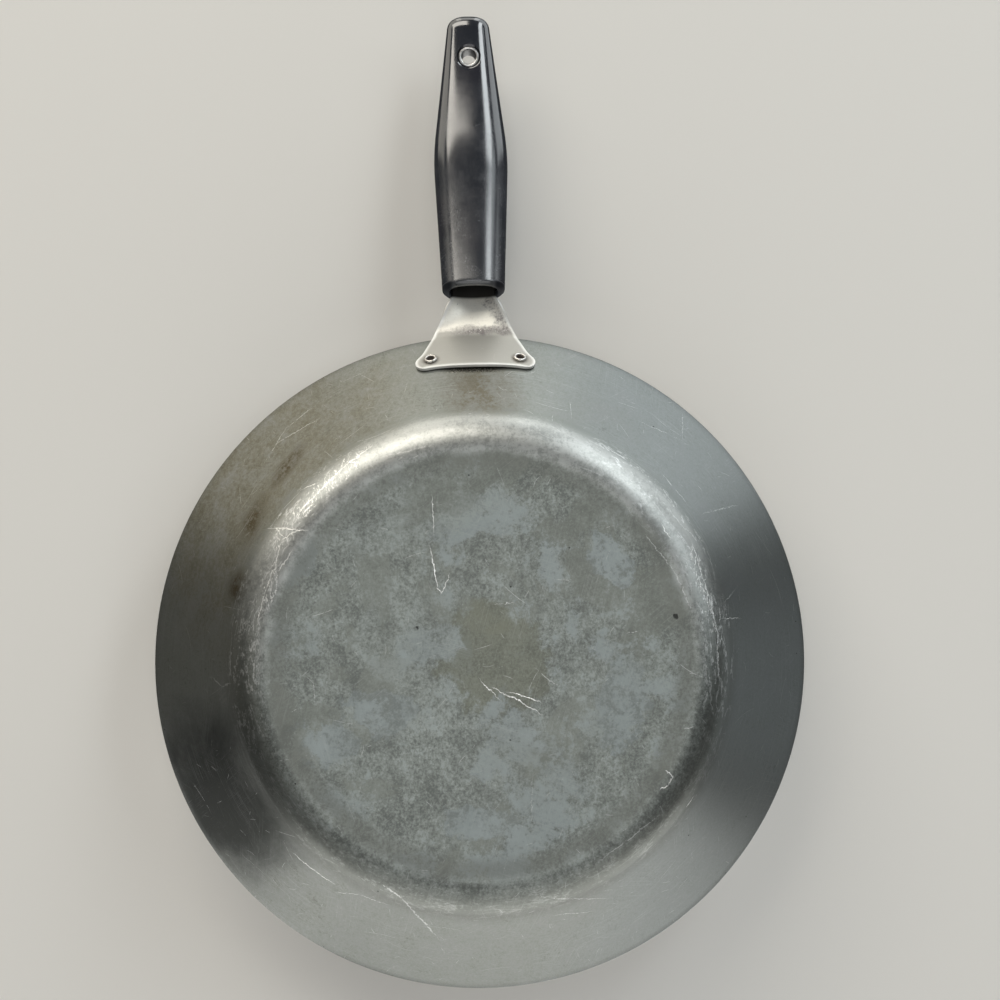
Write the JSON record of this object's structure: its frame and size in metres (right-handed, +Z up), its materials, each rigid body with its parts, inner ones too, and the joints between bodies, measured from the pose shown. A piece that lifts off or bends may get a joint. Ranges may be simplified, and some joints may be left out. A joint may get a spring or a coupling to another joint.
{
  "type": "frying pan",
  "caption": "Shallow aluminium frying pan with flared walls, a riveted sheet steel bracket and a hollow black moulded grip with a hanging hole.",
  "frame": {"origin": "centre of the pan's underside", "axes": "+Z up in use, from the underside to the rim; +X along the handle, from the pan to the grip's free end"},
  "size_m": [0.4618, 0.3048, 0.0753],
  "materials": {
    "pan_aluminium": "satin, worn and scratched",
    "bracket_steel": "brushed",
    "rivet_metal": "bright",
    "grip_phenolic": "semi-gloss, rubbed",
    "eyelet_metal": "bright"
  },
  "bodies": {
    "root": {"pan_body": "pan_aluminium", "handle_bracket": "bracket_steel", "bracket_rivet_left": "rivet_metal", "bracket_rivet_right": "rivet_metal", "handle_grip": "grip_phenolic", "hanging_eyelet": "eyelet_metal"}
  },
  "joints": []
}
